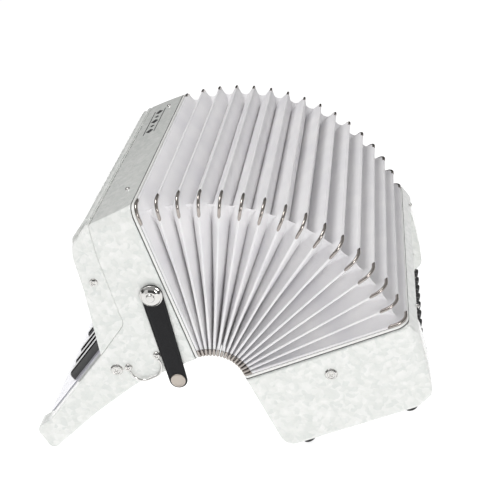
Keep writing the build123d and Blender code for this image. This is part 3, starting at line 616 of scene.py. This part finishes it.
def seam_bead(name, section, body):
    """The dark gasket that shows as a thin line between a casing and its bellows frame."""
    buried, shoulder = GASKET_INSET
    outline = [(buried, 0.0), (shoulder, 0.0), (-GASKET_PROUD, -0.25 * GASKET_T),
               (-GASKET_PROUD, -0.75 * GASKET_T), (shoulder, -GASKET_T), (buried, -GASKET_T)]
    bead = swept_ring(f"{name}_bead", section, RING.stations, outline, "gasket_felt", body, closed=True)
    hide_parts(name)


seam_bead("treble_gasket", TREBLE, "treble_side")
seam_bead("bass_gasket", BASS, "bass_side")
for number in range(FOLDS):
    ridge_tape(number)
    ridge_caps(number)
for number in range(FOLDS - 1):
    pleat(number)


# ---------------------------------------------------------------- turned fittings
class Seat:
    """A place on a surface: a point, the direction out of the surface and two across it."""

    def __init__(self, origin, out, across):
        self.origin = Vector(origin)
        self.out = Vector(out).normalized()
        self.u = (Vector(across) - self.out * Vector(across).dot(self.out)).normalized()
        self.v = self.out.cross(self.u)

    def at(self, u, v, height=0.0):
        return self.origin + self.u * u + self.v * v + self.out * height


class Parts:
    """Several closed shells gathered into one piece."""

    def __init__(self):
        self.vertices = []
        self.faces = []

    def add(self, vertices, faces):
        start = len(self.vertices)
        self.vertices += vertices
        self.faces += [tuple(start + corner for corner in face) for face in faces]

    def make(self, name, slot, body, *nodes):
        piece = piece_from(name, self.vertices, self.faces, slot, body)
        if nodes:
            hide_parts(*nodes)


TURN_STEPS = 48
FINE_STEPS = 96
CORNER_STEPS = 4          # steps round each corner of a turned profile


def turned(seat, profile, flutes=0, flute_depth=0.0, steps=TURN_STEPS):
    """A lathe shape: (radius, height) points from the rim's foot to the middle of the top."""
    vertices = []
    for radius, height in profile:
        for step in range(steps):
            angle = 2 * math.pi * step / steps
            wave = 1 + flute_depth * math.cos(flutes * angle)
            vertices.append(seat.at(radius * wave * math.cos(angle), radius * wave * math.sin(angle),
                                    height))
    return vertices, capped_faces(len(profile), steps)


def rounded_profile(corners, radius, steps=CORNER_STEPS):
    """A turned profile with each inner corner rounded."""
    points = [corners[0]]
    for before, corner, after in zip(corners, corners[1:], corners[2:]):
        here = Vector((*corner, 0))
        back, ahead = Vector((*before, 0)) - here, Vector((*after, 0)) - here
        reach = min(radius, back.length * 0.45, ahead.length * 0.45)
        start, end = here + back.normalized() * reach, here + ahead.normalized() * reach
        for step in range(steps + 1):
            share = step / steps
            middle = start.lerp(here, share).lerp(here.lerp(end, share), share)
            points.append((middle.x, middle.y))
    points.append(corners[-1])
    return points


HEAD_STEPS = 72
HEAD_RINGS = 16
CROSS_WIDTH = 0.16        # half width of the cross, as a share of the head's radius
CROSS_REACH = 0.62
CROSS_DEPTH = 0.8 * MM
CROSS_SLOPE = 0.5         # how much shallower the recess is at the rim, as a share


def cross_head(seat, radius, height, dome):
    """A screw head with a cross recess: a polar grid that dips inside the cross."""
    vertices = []
    for step in range(HEAD_STEPS):
        angle = 2 * math.pi * step / HEAD_STEPS
        vertices.append(seat.at(radius * math.cos(angle), radius * math.sin(angle), height - dome * 2))
    for ring in range(HEAD_RINGS):
        share = 1 - ring / HEAD_RINGS
        for step in range(HEAD_STEPS):
            angle = 2 * math.pi * step / HEAD_STEPS
            u, v = share * math.cos(angle), share * math.sin(angle)
            narrow, wide = sorted((abs(u), abs(v)))
            inside = narrow < CROSS_WIDTH and wide < CROSS_REACH
            lift = dome * (1 - share ** 2) - (CROSS_DEPTH * (1 - CROSS_SLOPE * wide) if inside else 0.0)
            vertices.append(seat.at(radius * u, radius * v, height + lift - dome))
    return vertices, capped_faces(HEAD_RINGS + 1, HEAD_STEPS)


CUP_R = 6.2 * MM
CUP_H = 2.2 * MM
CUP_FLUTES = 12
CUP_FLUTE_DEPTH = 0.025   # as a share of the radius


def cup_washer(seat):
    """A fluted cup washer with a hollow seat for a screw's head."""
    return turned(seat, rounded_profile([
        (CUP_R, 0), (CUP_R, 0.5 * MM), (CUP_R * 0.78, CUP_H), (CUP_R * 0.62, CUP_H),
        (CUP_R * 0.52, CUP_H * 0.62), (0.4 * MM, CUP_H * 0.5),
    ], 0.5 * MM), flutes=CUP_FLUTES, flute_depth=CUP_FLUTE_DEPTH, steps=FINE_STEPS)


def cup_screw(parts, seat):
    """A cup washer with its screw."""
    parts.add(*cup_washer(seat))
    parts.add(*cross_head(seat, CUP_R * 0.55, CUP_H, 0.35 * MM))


def dome_profile(radius, height):
    return rounded_profile([
        (radius, 0), (radius, height * 0.28), (radius * 0.74, height * 0.8),
        (radius * 0.36, height), (0.1 * MM, height),
    ], radius * 0.3)


def collar_profile(radius, height):
    """A dome without its last corner and its middle, where a screw's head sits."""
    return dome_profile(radius, height)[:-(CORNER_STEPS + 2)]


def on_end(section, side, depth, out, tilt=0.0):
    """A seat on the end of a casing; tilt turns it about its own middle, in degrees."""
    origin = section.at(depth, side * HALF, out)
    turn = math.radians(tilt)
    across = section.along * math.cos(turn) + section.out * math.sin(turn)
    return Seat(origin, (0, side, 0), across)


def on_front(section, depth, out, y):
    """A seat on the front of a casing."""
    return Seat(section.at(depth, y, out), section.along, LENGTHWAYS)


# Places on the casings, as (depth, out) from the seam.
SNAP = (79 * MM, 13.6 * MM)
STUD = (79.5 * MM, 23.1 * MM)
CHEEK_SCREW = (11 * MM, 79 * MM)
COVER_SCREW = (107 * MM, 61.5 * MM)
BAIL_SCREWS = ((10.5 * MM, 66.5 * MM), (15.5 * MM, 34.5 * MM))
TREBLE_PIN = (DEPTH - 1.3 * MM, 14 * MM)
BASS_PIN = (DEPTH + 4.6 * MM, 14 * MM)
PIN_ALONG = (-104 * MM, 129 * MM)     # y of the bellows pins
PIN_R = 2.4 * MM
PIN_H = 1.8 * MM
# Degrees that each screw's cross is turned by.
CHEEK_TILT = 17
COVER_TILT = 33
BAIL_TILTS = (8, 52)
STUD_TILT = -12


def casing_screws():
    """The screws and pins of both casings, each casing's as one piece."""
    treble, bass = Parts(), Parts()
    for side in (-1, 1):
        cup_screw(treble, on_end(TREBLE, side, *CHEEK_SCREW, tilt=CHEEK_TILT))
        seat = on_end(TREBLE, side, *COVER_SCREW, tilt=COVER_TILT)
        treble.add(*turned(seat, collar_profile(4.0 * MM, 2.0 * MM)))
        treble.add(*cross_head(seat, 3.6 * MM, 2.6 * MM, 0.7 * MM))
        for place, tilt in zip(BAIL_SCREWS, BAIL_TILTS):
            seat = on_end(TREBLE, side, *place, tilt=tilt)
            treble.add(*turned(seat, rounded_profile([
                (3.8 * MM, 0), (3.8 * MM, 1.2 * MM), (2.9 * MM, 2.4 * MM), (0.1 * MM, 2.5 * MM),
            ], 0.6 * MM)))
            treble.add(*cross_head(seat, 3.0 * MM, 3.4 * MM, 0.7 * MM))
        cup_screw(bass, on_end(BASS, side, *STUD, tilt=STUD_TILT))
    for y in PIN_ALONG:
        treble.add(*turned(on_front(TREBLE, *TREBLE_PIN, y), dome_profile(PIN_R, PIN_H)))
        bass.add(*turned(on_front(BASS, *BASS_PIN, y), dome_profile(PIN_R, PIN_H)))
    treble.make("screws_treble", "nickel", "treble_side", "treble_screws")
    bass.make("screws_bass", "nickel", "bass_side", "bass_screws")


SNAP_FOOT = 2.9 * MM      # height of the snap's cap above the casing, over the strap


def snap_caps():
    """The domed press snaps that hold the bellows straps to the treble ends."""
    parts = Parts()
    foot = SNAP_FOOT
    for side in (-1, 1):
        seat = on_end(TREBLE, side, *SNAP)
        parts.add(*turned(seat, [(3.0 * MM, 0), (3.0 * MM, foot), (0.5 * MM, foot)]))
        parts.add(*turned(seat, rounded_profile([
            (10.2 * MM, foot - 0.2 * MM), (10.9 * MM, foot), (10.9 * MM, foot + 1.1 * MM),
            (9.9 * MM, foot + 1.7 * MM), (8.6 * MM, foot + 3.3 * MM), (5.6 * MM, foot + 4.5 * MM),
            (4.3 * MM, foot + 4.6 * MM), (3.7 * MM, foot + 6.2 * MM), (0.2 * MM, foot + 6.6 * MM),
        ], 1.3 * MM, steps=6), steps=FINE_STEPS))
    parts.make("snap_caps", "nickel", "treble_side", "strap_snaps")


STRAP_LENGTH = 95.5 * MM  # from the snap to the free rivet
STRAP_HANG = math.radians(173.6)
STRAP_WIDE = 10.8 * MM    # radius round the snap
STRAP_NARROW = 8.9 * MM   # radius round the free rivet
STRAP_LOW = 0.6 * MM
STRAP_HIGH = 2.6 * MM
STUD_HOLE_R = CUP_R + 0.4 * MM
RIVET_STEPS = 72
STRAP_ARC_STEPS = 40
STRAP_SIDE_STEPS = 12


def tapered_outline(inset):
    """The strap's outline, as (along, across) from the snap: two arcs joined by straight sides."""
    wide, narrow = STRAP_WIDE - inset, STRAP_NARROW - inset
    lean = math.acos((wide - narrow) / STRAP_LENGTH)

    def rim(share, angle):
        radius = blend_between(wide, narrow, share)
        return STRAP_LENGTH * share + radius * math.cos(angle), radius * math.sin(angle)

    turns = [step / STRAP_ARC_STEPS for step in range(STRAP_ARC_STEPS + 1)]
    sides = [step / STRAP_SIDE_STEPS for step in range(1, STRAP_SIDE_STEPS)]
    return ([rim(0, lean + (2 * math.pi - 2 * lean) * turn) for turn in turns]
            + [rim(share, -lean) for share in sides]
            + [rim(1, -lean + 2 * lean * turn) for turn in turns]
            + [rim(1 - share, lean) for share in sides])


CREASE_DEEP = 0.22 * MM


def leather_layers(low, high):
    """(inset, height) rings of a skived leather edge with a creased border line."""
    return [
        (0.5 * MM, low), (0.1 * MM, low + 0.25 * MM), (0.0, low + 0.9 * MM),
        (0.1 * MM, high - 0.5 * MM), (0.45 * MM, high - 0.12 * MM), (0.9 * MM, high),
        (1.5 * MM, high), (1.75 * MM, high - CREASE_DEEP), (2.0 * MM, high - CREASE_DEEP),
        (2.25 * MM, high), (4.5 * MM, high + 0.05 * MM),
    ]


def hole_point(point):
    """The point of the hole round the bass stud that faces an outline point."""
    away = Vector((point[0] - STRAP_LENGTH, point[1], 0)).normalized() * STUD_HOLE_R
    return STRAP_LENGTH + away.x, away.y


def bellows_strap(side, end_name):
    """A leather strap with its flat rivet, which swings about the snap."""
    seat = on_end(TREBLE, side, *SNAP)
    hang = Seat(seat.origin, seat.out, TREBLE.along * math.cos(STRAP_HANG)
                + TREBLE.out * math.sin(STRAP_HANG))
    layers = leather_layers(STRAP_LOW, STRAP_HIGH)
    edge = tapered_outline(0.0)
    vertices = [hang.at(*point, height) for inset, height in layers for point in tapered_outline(inset)]
    vertices += [hang.at(*hole_point(point), height) for height in (STRAP_HIGH, STRAP_LOW)
                 for point in edge]
    band = Parts()
    band.add(vertices, grid_faces(len(layers) + 2, len(edge), close_rows=True, close_columns=True))
    band.make(f"strap_leather_{end_name}", "strap_leather", f"bellows_strap_{end_name}",
              f"bellows_strap_{end_name}")
    rivet = Parts()
    rivet.add(*turned(Seat(hang.at(STRAP_LENGTH, 0), seat.out, hang.u), rounded_profile([
        (7.3 * MM, 2.3 * MM), (7.3 * MM, 3.2 * MM), (6.6 * MM, 3.75 * MM), (5.6 * MM, 3.7 * MM),
        (5.2 * MM, 3.45 * MM), (0.3 * MM, 3.4 * MM),
    ], 0.5 * MM), steps=RIVET_STEPS))
    rivet.make(f"strap_rivet_{end_name}", "strap_rivet", f"bellows_strap_{end_name}")


# The bass hand strap: its edges across the casing's depth, its faces, and half its length.
BAND_FROM, BAND_TO = 67 * MM, 97 * MM
BAND_LOW, BAND_HIGH = 88.6 * MM, 90.8 * MM
BAND_HALF = 145 * MM
BAND_CORNER = 4 * MM
BAND_CORNER_STEPS = 8
BAND_END_STEPS = 4
STITCH_PITCH = 4.6 * MM
STITCH_LENGTH = 3.2 * MM
STITCH_INSET = 3.4 * MM
STITCH_MARGIN = 6 * MM
STITCH_STEPS = 6          # along the thread, and round it


def hand_strap_outline(inset):
    """The hand strap's outline, as (depth, y): a long rectangle with rounded corners."""
    middle = (BAND_FROM + BAND_TO) / 2
    half = (BAND_TO - BAND_FROM) / 2 - inset
    long_half = BAND_HALF - inset
    radius = max(BAND_CORNER - inset, 0.5 * MM)
    points = []
    for quarter, (u_side, v_side) in enumerate(((1, 1), (-1, 1), (-1, -1), (1, -1))):
        for step in range(BAND_CORNER_STEPS + 1):
            angle = math.radians(90 * quarter + 90 * step / BAND_CORNER_STEPS)
            points.append((middle + u_side * (half - radius) + radius * math.cos(angle),
                           v_side * (long_half - radius) + radius * math.sin(angle)))
        if u_side == v_side:      # this corner leads on to one of the short ends
            for step in range(1, BAND_END_STEPS):
                share = step / BAND_END_STEPS
                points.append((middle + (1 - 2 * share) * u_side * (half - radius),
                               v_side * long_half))
    return points


def stitch(section, depth, y, surface):
    """One raised thread stitch along the length."""
    vertices = []
    for step in range(STITCH_STEPS + 1):
        share = step / STITCH_STEPS
        rise = 0.32 * MM * math.sin(math.pi * share) - 0.12 * MM
        for turn in range(STITCH_STEPS):
            angle = 2 * math.pi * turn / STITCH_STEPS
            vertices.append(section.at(
                depth + 0.28 * MM * math.cos(angle), y + (share - 0.5) * STITCH_LENGTH,
                surface + rise + 0.22 * MM * math.sin(angle)))
    return vertices, capped_faces(STITCH_STEPS + 1, STITCH_STEPS)


def hand_strap():
    """The bass hand strap lying along the outer face, with its stitch line."""
    layers = leather_layers(BAND_LOW, BAND_HIGH)
    vertices = [BASS.at(depth, y, height) for inset, height in layers
                for depth, y in hand_strap_outline(inset)]
    band = Parts()
    band.add(vertices, capped_faces(len(layers), len(hand_strap_outline(0.0))))
    band.make("hand_strap", "strap_leather", "bass_side", "bass_strap")
    stitches = Parts()
    count = int(2 * (BAND_HALF - STITCH_MARGIN) / STITCH_PITCH)
    for depth in (BAND_FROM + STITCH_INSET, BAND_TO - STITCH_INSET):
        for step in range(count):
            y = (step - (count - 1) / 2) * STITCH_PITCH
            stitches.add(*stitch(BASS, depth, y, BAND_HIGH))
    stitches.make("hand_strap_stitches", "thread", "bass_side")


casing_screws()
snap_caps()
for end_side, end_word in ((-1, "bottom"), (1, "top")):
    bellows_strap(end_side, end_word)
hand_strap()


# ---------------------------------------------------------------- ornament on the treble front
CREASE_FRONT = (162.5 * MM, 43 * MM)  # (depth, out) of the crease where the front turns back
ORNAMENT_MIDDLE = 91 * MM
ORNAMENT_OUT = 25 * MM
LOZENGES = 5
LOZENGE_PITCH = 15 * MM
LARGE_LOZENGE = (6.0 * MM, 4.6 * MM)  # half its size along the casing and across it
SMALL_LOZENGE = (3.4 * MM, 2.6 * MM)
LINE_AWAY = 6.6 * MM      # from the middle of the row to each line
LINE_HALF = 0.4 * MM
LINE_PAST = 7 * MM        # how far the lines run past the last lozenges' middles
INLAY_T = 0.35 * MM
INLAY_SUNK = -0.2 * MM


def ornament_point(y, out, lift):
    """A point over the treble casing's front, which leans back a little away from the seam."""
    fall = Vector((CREASE_FRONT[0] - DEPTH, CREASE_FRONT[1], 0))
    normal = Vector((fall.y, -fall.x, 0)).normalized()
    depth = DEPTH + fall.x * out / CREASE_FRONT[1]
    return TREBLE.at(depth + normal.x * lift, y, out + normal.y * lift)


def inlay(outline):
    """A thin plate with slightly sloped edges over an outline of (y, out) points."""
    middle_y = sum(point[0] for point in outline) / len(outline)
    middle_out = sum(point[1] for point in outline) / len(outline)
    vertices = []
    layers = ((1.0, INLAY_SUNK), (1.0, INLAY_T * 0.6), (0.96, INLAY_T))
    for shrink, lift in layers:
        for y, out in outline:
            vertices.append(ornament_point(blend_between(middle_y, y, shrink),
                                           blend_between(middle_out, out, shrink), lift))
    return vertices, capped_faces(len(layers), len(outline))


def treble_ornament():
    """A row of lozenges between two thin lines."""
    parts = Parts()
    for number in range(LOZENGES):
        y = ORNAMENT_MIDDLE + (number - (LOZENGES - 1) / 2) * LOZENGE_PITCH
        half_y, half_out = LARGE_LOZENGE if number % 2 == 0 else SMALL_LOZENGE
        parts.add(*inlay([(y - half_y, ORNAMENT_OUT), (y, ORNAMENT_OUT - half_out),
                          (y + half_y, ORNAMENT_OUT), (y, ORNAMENT_OUT + half_out)]))
    reach = (LOZENGES - 1) / 2 * LOZENGE_PITCH + LINE_PAST
    start, end = ORNAMENT_MIDDLE - reach, ORNAMENT_MIDDLE + reach
    for out in (ORNAMENT_OUT - LINE_AWAY, ORNAMENT_OUT + LINE_AWAY):
        low, high = out - LINE_HALF, out + LINE_HALF
        parts.add(*inlay([(start, low), (end, low), (end, high), (start, high)]))
    parts.make("treble_ornament", "ornament", "treble_side")


treble_ornament()


# ---------------------------------------------------------------- cloth in the sound slots
# Edges of the cover's bevelled front, as (depth, out): by the crease, then away from it.
BEVEL_LOW = (164.6 * MM, 48.8 * MM)
BEVEL_HIGH = (150.0 * MM, 68.6 * MM)
SLOTS = 20
SLOT_PITCH = 12.2 * MM
SLOTS_MIDDLE = 17 * MM
SLOTS_FORWARD = 4 * MM
SLOT_LENGTH = 17 * MM
SLOT_WIDTH = 2.2 * MM
SLOT_TURN = math.radians(55)
SLOT_STEPS = 6            # round each end
CLOTH_OVERLAP = 0.05 * MM
CLOTH_TOP = -0.12 * MM
CLOTH_BOTTOM = -2.8 * MM


def slot_seats():
    """A seat in the middle of every slot, with u along the slot."""
    low, high = TREBLE.at(BEVEL_LOW[0], 0, BEVEL_LOW[1]), TREBLE.at(BEVEL_HIGH[0], 0, BEVEL_HIGH[1])
    forward = (low - high).normalized()
    out = LENGTHWAYS.cross(forward)
    if out.dot(TREBLE.along) < 0:
        out = -out
    along = LENGTHWAYS * math.cos(SLOT_TURN) + forward * math.sin(SLOT_TURN)
    for number in range(SLOTS):
        y = SLOTS_MIDDLE + (number - (SLOTS - 1) / 2) * SLOT_PITCH
        yield Seat(low.lerp(high, 0.5) + forward * SLOTS_FORWARD + LENGTHWAYS * y, out, along)


def slot_outline(half_length, radius):
    """A slot's outline, with its middle at the origin: two half circles and straight sides."""
    points = []
    for end, turned_by in ((1, 0), (-1, math.pi)):
        for step in range(SLOT_STEPS + 1):
            angle = math.radians(-90 + 180 * step / SLOT_STEPS) + turned_by
            points.append((end * (half_length - radius) + radius * math.cos(angle),
                           radius * math.sin(angle)))
    return points


def grille_cloth():
    """The black cloth that fills the slots, a little below the face of the cover."""
    parts = Parts()
    outline = slot_outline(SLOT_LENGTH / 2 + CLOTH_OVERLAP, SLOT_WIDTH / 2 + CLOTH_OVERLAP)
    for seat in slot_seats():
        vertices = [seat.at(*point, height) for height in (CLOTH_BOTTOM, CLOTH_TOP) for point in outline]
        parts.add(vertices, capped_faces(2, len(outline)))
    parts.make("grille_cloth", "grille_cloth", "treble_side")


grille_cloth()


# ---------------------------------------------------------------- CAD nodes that stay
SOFTENED_FROM = 50        # degrees: edges sharper than this are softened


def finish_node(node, slot, bevel):
    """Gives a CAD node its material and, where the bevel is over 0, softened edges."""
    piece = NODES[node]
    piece.data.materials.clear()
    piece.data.materials.append(MATERIAL[slot])
    if bevel:
        soften = piece.modifiers.new("soften", "BEVEL")
        soften.width = bevel
        soften.segments = 2
        soften.limit_method = "ANGLE"
        soften.angle_limit = math.radians(SOFTENED_FROM)


EDGE_SOFTENING = {
    "white_key": 0.7 * MM, "black_key": 0.9 * MM, "bellows_frame": 0.5 * MM,
    "black_plastic": 0.5 * MM, "black_button": 0.35 * MM, "air_button": 0.5 * MM,
    "wheel_plastic": 0.4 * MM,
}
SLOT_OF = {entry["node"]: entry["material_slot"] for entry in frame["record"]["subparts"]}
for node_name, slot_name in SLOT_OF.items():
    finish_node(node_name, slot_name, EDGE_SOFTENING.get(slot_name, 0.0))


# ---------------------------------------------------------------- setting
def stage_plane(name, size, grey, glow):
    """The pale floor, which reaches size metres each way and glows a little."""
    shader = Shader(name, (grey, grey, grey), roughness=0.8, specular=0.1)
    shader.set("Emission Color", opaque((1.0, 1.0, 1.0)))
    shader.set("Emission Strength", glow)
    mesh = bpy.data.meshes.new(name)
    mesh.from_pydata([(-size, -size, 0), (size, -size, 0), (size, size, 0), (-size, size, 0)], [],
                     [(0, 1, 2, 3)])
    floor = bpy.data.objects.new(name, mesh)
    floor.location.z = -0.2 * MM
    bpy.context.scene.collection.objects.link(floor)
    mesh.materials.append(shader.material)


def soft_light(name, place, target_height, size, power):
    """A round lamp that aims at a point over the middle of the floor."""
    data = bpy.data.lights.new(name, "AREA")
    data.shape = "DISK"
    data.size = size
    data.energy = power
    lamp = bpy.data.objects.new(name, data)
    lamp.location = place
    aim = (Vector((0, 0, target_height)) - Vector(place)).to_track_quat("-Z", "Y")
    lamp.rotation_mode = "QUATERNION"
    lamp.rotation_quaternion = aim
    bpy.context.scene.collection.objects.link(lamp)


SKY_STRENGTH = 0.42
# Brightness of the surroundings by height: 0 is the horizon and below it, 1 is straight up.
SKY = ((0.0, 0.30), (0.10, 0.16), (0.34, 0.22), (0.46, 0.9), (1.0, 1.0))


def studio_world():
    """Soft grey surroundings, darker low down so that the metal has something to reflect."""
    world = bpy.data.worlds.new("studio")
    bpy.context.scene.world = world
    world.use_nodes = True
    nodes, links = world.node_tree.nodes, world.node_tree.links
    background = nodes["Background"]
    background.inputs["Strength"].default_value = SKY_STRENGTH
    place = nodes.new("ShaderNodeTexCoord")
    split = nodes.new("ShaderNodeSeparateXYZ")
    ramp = nodes.new("ShaderNodeValToRGB")
    links.new(place.outputs["Generated"], split.inputs[0])
    links.new(split.outputs["Z"], ramp.inputs["Fac"])
    links.new(ramp.outputs["Color"], background.inputs["Color"])
    elements = ramp.color_ramp.elements
    while len(elements) < len(SKY):
        elements.new(0.5)
    for element, (height, grey) in zip(elements, SKY):
        element.position = height
        element.color = (grey, grey, grey, 1)


# The camera's place and axes, fitted to the photograph's view.
CAMERA_PLACE = (0.15782, -1.01992, 0.66089)
CAMERA_RIGHT = (0.99054, 0.11071, -0.08109)
CAMERA_UP = (0.02287, 0.44944, 0.89302)
CAMERA_BACK = (0.13531, -0.88642, 0.44265)
CAMERA_LENS = 80.84       # millimetres, on a sensor 36 wide


def photo_camera():
    data = bpy.data.cameras.new("camera")
    data.lens = CAMERA_LENS
    data.sensor_width = 36.0
    data.clip_start = 0.05
    camera = bpy.data.objects.new("camera", data)
    axes = Matrix((CAMERA_RIGHT, CAMERA_UP, CAMERA_BACK)).transposed().to_4x4()
    camera.matrix_world = Matrix.Translation(CAMERA_PLACE) @ axes
    bpy.context.scene.collection.objects.link(camera)
    bpy.context.scene.camera = camera


stage_plane("floor", 6.0, 0.55, 0.78)
soft_light("key_light", (1.1, -2.1, 0.95), 0.12, 0.8, 17)
soft_light("fill_light", (-1.3, -1.6, 0.7), 0.12, 1.2, 2.5)
soft_light("top_light", (-0.55, -0.1, 1.75), 0.1, 0.9, 14)
studio_world()
photo_camera()
bpy.context.scene.view_settings.view_transform = "Standard"
